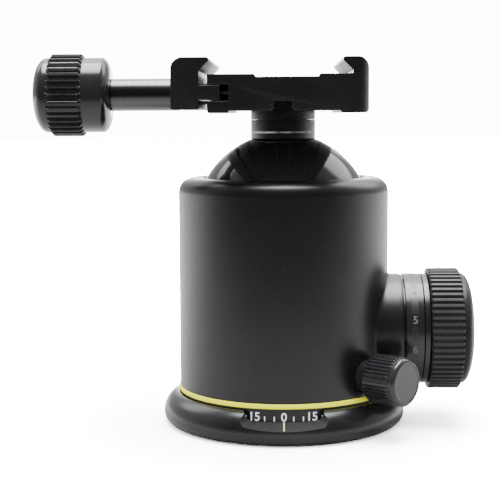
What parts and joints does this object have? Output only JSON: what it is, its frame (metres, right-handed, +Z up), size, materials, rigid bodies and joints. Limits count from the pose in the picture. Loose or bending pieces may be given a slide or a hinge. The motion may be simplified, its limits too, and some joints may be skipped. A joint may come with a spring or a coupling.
{
  "type": "tripod ball head",
  "caption": "Round-bodied tripod ball head with a panning base, a main knob with a friction dial, a pan lock and a screw clamp for dovetail plates.",
  "frame": {"origin": "centre of the base's underside, at the mouth of the tripod thread", "axes": "+Z up through the ball, +X along the main knob away from the body, -Y towards the pan scale's window"},
  "size_m": [0.1189, 0.066, 0.1004],
  "materials": {
    "body_black": "satin black anodised aluminium",
    "base_black": "satin-gloss black anodised aluminium",
    "ball_gloss": "polished black anodised aluminium",
    "knob_black": "semi-gloss black anodised aluminium",
    "clamp_black": "matte black anodised aluminium, worn at its edges",
    "dark_steel": "dark turned steel",
    "steel": "turned steel",
    "bare_aluminium": "machined",
    "brass": "machined",
    "slide_plastic": "smooth acetal",
    "accent_yellow": "smooth yellow-green plastic",
    "index_cream": "paint filled line"
  },
  "bodies": {
    "base": {"base_flange": "base_black", "thread_insert": "steel", "pan_hub": "bare_aluminium", "base_screws": "steel", "lower_bearing_washer": "slide_plastic", "index_line": "index_cream"},
    "housing": {"housing": "body_black", "accent_ring": "accent_yellow", "housing_floor": "bare_aluminium", "hub_retainer_ring": "bare_aluminium", "retainer_screws": "steel", "upper_bearing_washer": "slide_plastic", "pan_lock_pad": "brass", "upper_seat_ring": "slide_plastic", "lower_cup": "bare_aluminium", "ramp_block": "steel", "spindle_bushing": "brass", "detent_ball": "steel", "detent_spring": "steel", "dial_snap_ring": "steel"},
    "lock_wedge": {"lock_wedge": "steel"},
    "main_knob": {"knob_hub": "knob_black", "knob_grip": "knob_black", "knob_end_cap": "knob_black", "main_spindle": "steel", "spindle_screw": "steel", "friction_springs": "steel"},
    "friction_dial": {"friction_dial": "knob_black"},
    "pan_lock": {"pan_lock_knob": "knob_black", "pan_lock_screw": "steel", "pan_lock_collar": "knob_black"},
    "ball_liner": {"ball_liner": "slide_plastic"},
    "ball": {"ball": "ball_gloss"},
    "clamp": {"neck": "body_black", "neck_stud": "steel", "key_disc": "body_black", "clamp_body": "clamp_black", "clamp_fixing_screw": "steel", "jaw_springs": "steel"},
    "jaw": {"moving_jaw": "clamp_black"},
    "clamp_knob": {"clamp_knob": "knob_black", "clamp_knob_cap": "knob_black", "clamp_sleeve": "dark_steel", "clamp_screw": "steel", "jaw_washer": "brass"}
  },
  "joints": [
    {"name": "pan_turn", "type": "hinge", "parent": "base", "child": "housing", "pos_m": [0, 0, 0.0156], "axis": [0, 0, 1], "continuous": true},
    {"name": "ball_lean", "type": "hinge", "parent": "housing", "child": "ball_liner", "pos_m": [0, 0, 0.055], "axis": [0, 1, 0], "range_deg": [-27, 27]},
    {"name": "ball_tilt", "type": "hinge", "parent": "ball_liner", "child": "ball", "pos_m": [0, 0, 0.055], "axis": [-1, 0, 0], "range_deg": [-27, 90]},
    {"name": "ball_twist", "type": "hinge", "parent": "ball", "child": "clamp", "pos_m": [0, 0, 0.055], "axis": [0, 0, 1], "range_deg": [-180, 180]},
    {"name": "jaw_slide", "type": "slide", "parent": "clamp", "child": "jaw", "axis": [1, 0, 0], "range_m": [-0.003, 0.002]},
    {"name": "clamp_knob_turn", "type": "hinge", "parent": "jaw", "child": "clamp_knob", "pos_m": [-0.0464, 0, 0.0893], "axis": [1, 0, 0], "range_deg": [-1080, 720]},
    {"name": "lock_wedge_slide", "type": "slide", "parent": "housing", "child": "lock_wedge", "axis": [1, 0, 0], "range_m": [0, 0.0005]},
    {"name": "main_knob_turn", "type": "hinge", "parent": "lock_wedge", "child": "main_knob", "pos_m": [0.04, 0, 0.02535], "axis": [1, 0, 0], "range_deg": [0, 180]},
    {"name": "friction_dial_turn", "type": "hinge", "parent": "housing", "child": "friction_dial", "pos_m": [0.034, 0, 0.02535], "axis": [1, 0, 0], "range_deg": [-120, 120]},
    {"name": "pan_lock_turn", "type": "hinge", "parent": "housing", "child": "pan_lock", "pos_m": [0, 0, 0.0156], "axis": [0.7593, -0.6508, 0], "range_deg": [0, 270]}
  ],
  "couplings": [
    {"joint": "clamp_knob_turn", "follows": "jaw_slide", "rad_per_m": 6283.2},
    {"joint": "main_knob_turn", "follows": "lock_wedge_slide", "rad_per_m": 6283.2}
  ]
}
